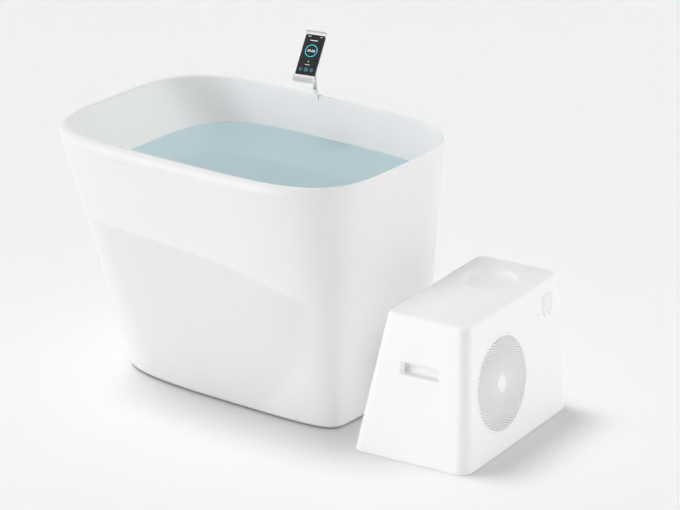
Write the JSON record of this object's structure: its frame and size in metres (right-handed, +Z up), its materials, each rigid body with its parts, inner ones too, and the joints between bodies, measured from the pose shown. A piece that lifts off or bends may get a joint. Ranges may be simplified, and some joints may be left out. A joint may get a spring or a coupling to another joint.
{
  "type": "cold plunge tub",
  "caption": "Insulated oval plunge tub with a sloped backrest, seat and footwell, a free-standing leaning-sided water chiller and a handset in a sprung cradle on the rim.",
  "frame": {"origin": "on the floor under the middle of the tub's rim, on the base pad's underside", "axes": "+X along the tub from the backrest to the foot end and on to the chiller, +Z up, so -Y is the long side nearer the viewer"},
  "size_m": [1.6878, 0.8632, 1.0727],
  "materials": {
    "shell_white": "smooth satin white",
    "basin_white": "smooth gloss white",
    "casing_white": "fine matt white",
    "fitting_white": "matt white",
    "fitting_grey": "matt grey",
    "plastic_black": "matt black",
    "rubber_black": "matt",
    "rubber_grey": "matt",
    "foam_cream": "rigid foam",
    "polished_steel": "polished",
    "zinc_steel": "zinc plated",
    "painted_black": "satin black",
    "fin_aluminium": "bare",
    "copper_tube": "bright copper",
    "valve_brass": "machined",
    "filter_paper": "pleated",
    "display_glass": "gloss black"
  },
  "bodies": {
    "tub": {"tub_shell": "shell_white", "inner_basin": "basin_white", "footwell_liner": "basin_white", "casing": "casing_white", "fan_grille": "casing_white", "intake_louvre": "casing_white", "suction_grate": "fitting_white", "return_nozzle": "fitting_white", "rim_clip": "fitting_white", "front_grip_cup": "fitting_white", "rear_grip_cup": "fitting_white", "control_bezel": "fitting_white", "suction_bulkhead": "fitting_grey", "suction_nut": "fitting_grey", "return_bulkhead": "fitting_grey", "return_nut": "fitting_grey", "drain_elbow": "fitting_grey", "filter_canister": "fitting_grey", "water_inlet_union": "fitting_grey", "water_outlet_union": "fitting_grey", "fan_shroud": "plastic_black", "water_pump": "plastic_black", "control_box": "plastic_black", "mains_inlet": "plastic_black", "base_pad": "rubber_black", "foot_front_left": "rubber_black", "foot_front_right": "rubber_black", "foot_rear_left": "rubber_black", "foot_rear_right": "rubber_black", "compressor_mat": "rubber_black", "pump_cradle": "rubber_black", "lid_seal": "rubber_black", "foam_insulation": "foam_cream", "drain_grate": "polished_steel", "base_tray": "zinc_steel", "motor_bracket": "zinc_steel", "heat_exchanger": "zinc_steel", "control_upright": "zinc_steel", "fan_motor": "painted_black", "compressor": "painted_black", "condenser": "fin_aluminium", "discharge_line": "copper_tube", "suction_line": "copper_tube", "drain_valve": "valve_brass", "filter_cartridge": "filter_paper"},
    "drain_lever": {"drain_lever": "painted_black"},
    "stem": {"holder_stem": "polished_steel", "tilt_pin": "polished_steel"},
    "cradle": {"cradle": "fitting_white", "lower_pad": "rubber_grey", "handset_body": "plastic_black", "handset_glass": "display_glass"},
    "jaw": {"upper_jaw": "fitting_white", "upper_pad": "rubber_grey"},
    "power_button": {"power_button": "fitting_white"},
    "fan_rotor": {"fan_rotor": "plastic_black"},
    "filter_lid": {"filter_lid": "fitting_white"}
  },
  "joints": [
    {"name": "drain_turn", "type": "hinge", "parent": "tub", "child": "drain_lever", "pos_m": [0.57129, 0, 0.0945], "axis": [0, 0, 1], "range_deg": [0, 90]},
    {"name": "stem_swivel", "type": "hinge", "parent": "tub", "child": "stem", "pos_m": [-0.044, 0.40432, 0.8692], "axis": [0, 0, 1], "range_deg": [-90, 90]},
    {"name": "cradle_tilt", "type": "hinge", "parent": "stem", "child": "cradle", "pos_m": [-0.044, 0.40432, 1.0052], "axis": [0.9803, 0.1977, 0], "range_deg": [-37, 33]},
    {"name": "jaw_slide", "type": "slide", "parent": "cradle", "child": "jaw", "axis": [-0.1217, 0.6035, 0.788], "range_m": [0, 0.01], "stiffness_N_per_m": 300, "springref_m": -0.005},
    {"name": "button_press", "type": "slide", "parent": "tub", "child": "power_button", "axis": [-0.992, -0.0868, -0.0915], "range_m": [0, 0.002], "stiffness_N_per_m": 800, "springref_m": -0.001},
    {"name": "fan_spin", "type": "hinge", "parent": "tub", "child": "fan_rotor", "pos_m": [0.92288, -0.05901, 0.223], "axis": [0.9962, 0.0872, 0], "continuous": true},
    {"name": "lid_turn", "type": "hinge", "parent": "tub", "child": "filter_lid", "pos_m": [0.84352, 0.16392, 0.455], "axis": [0, 0, 1], "range_deg": [0, 60]}
  ]
}
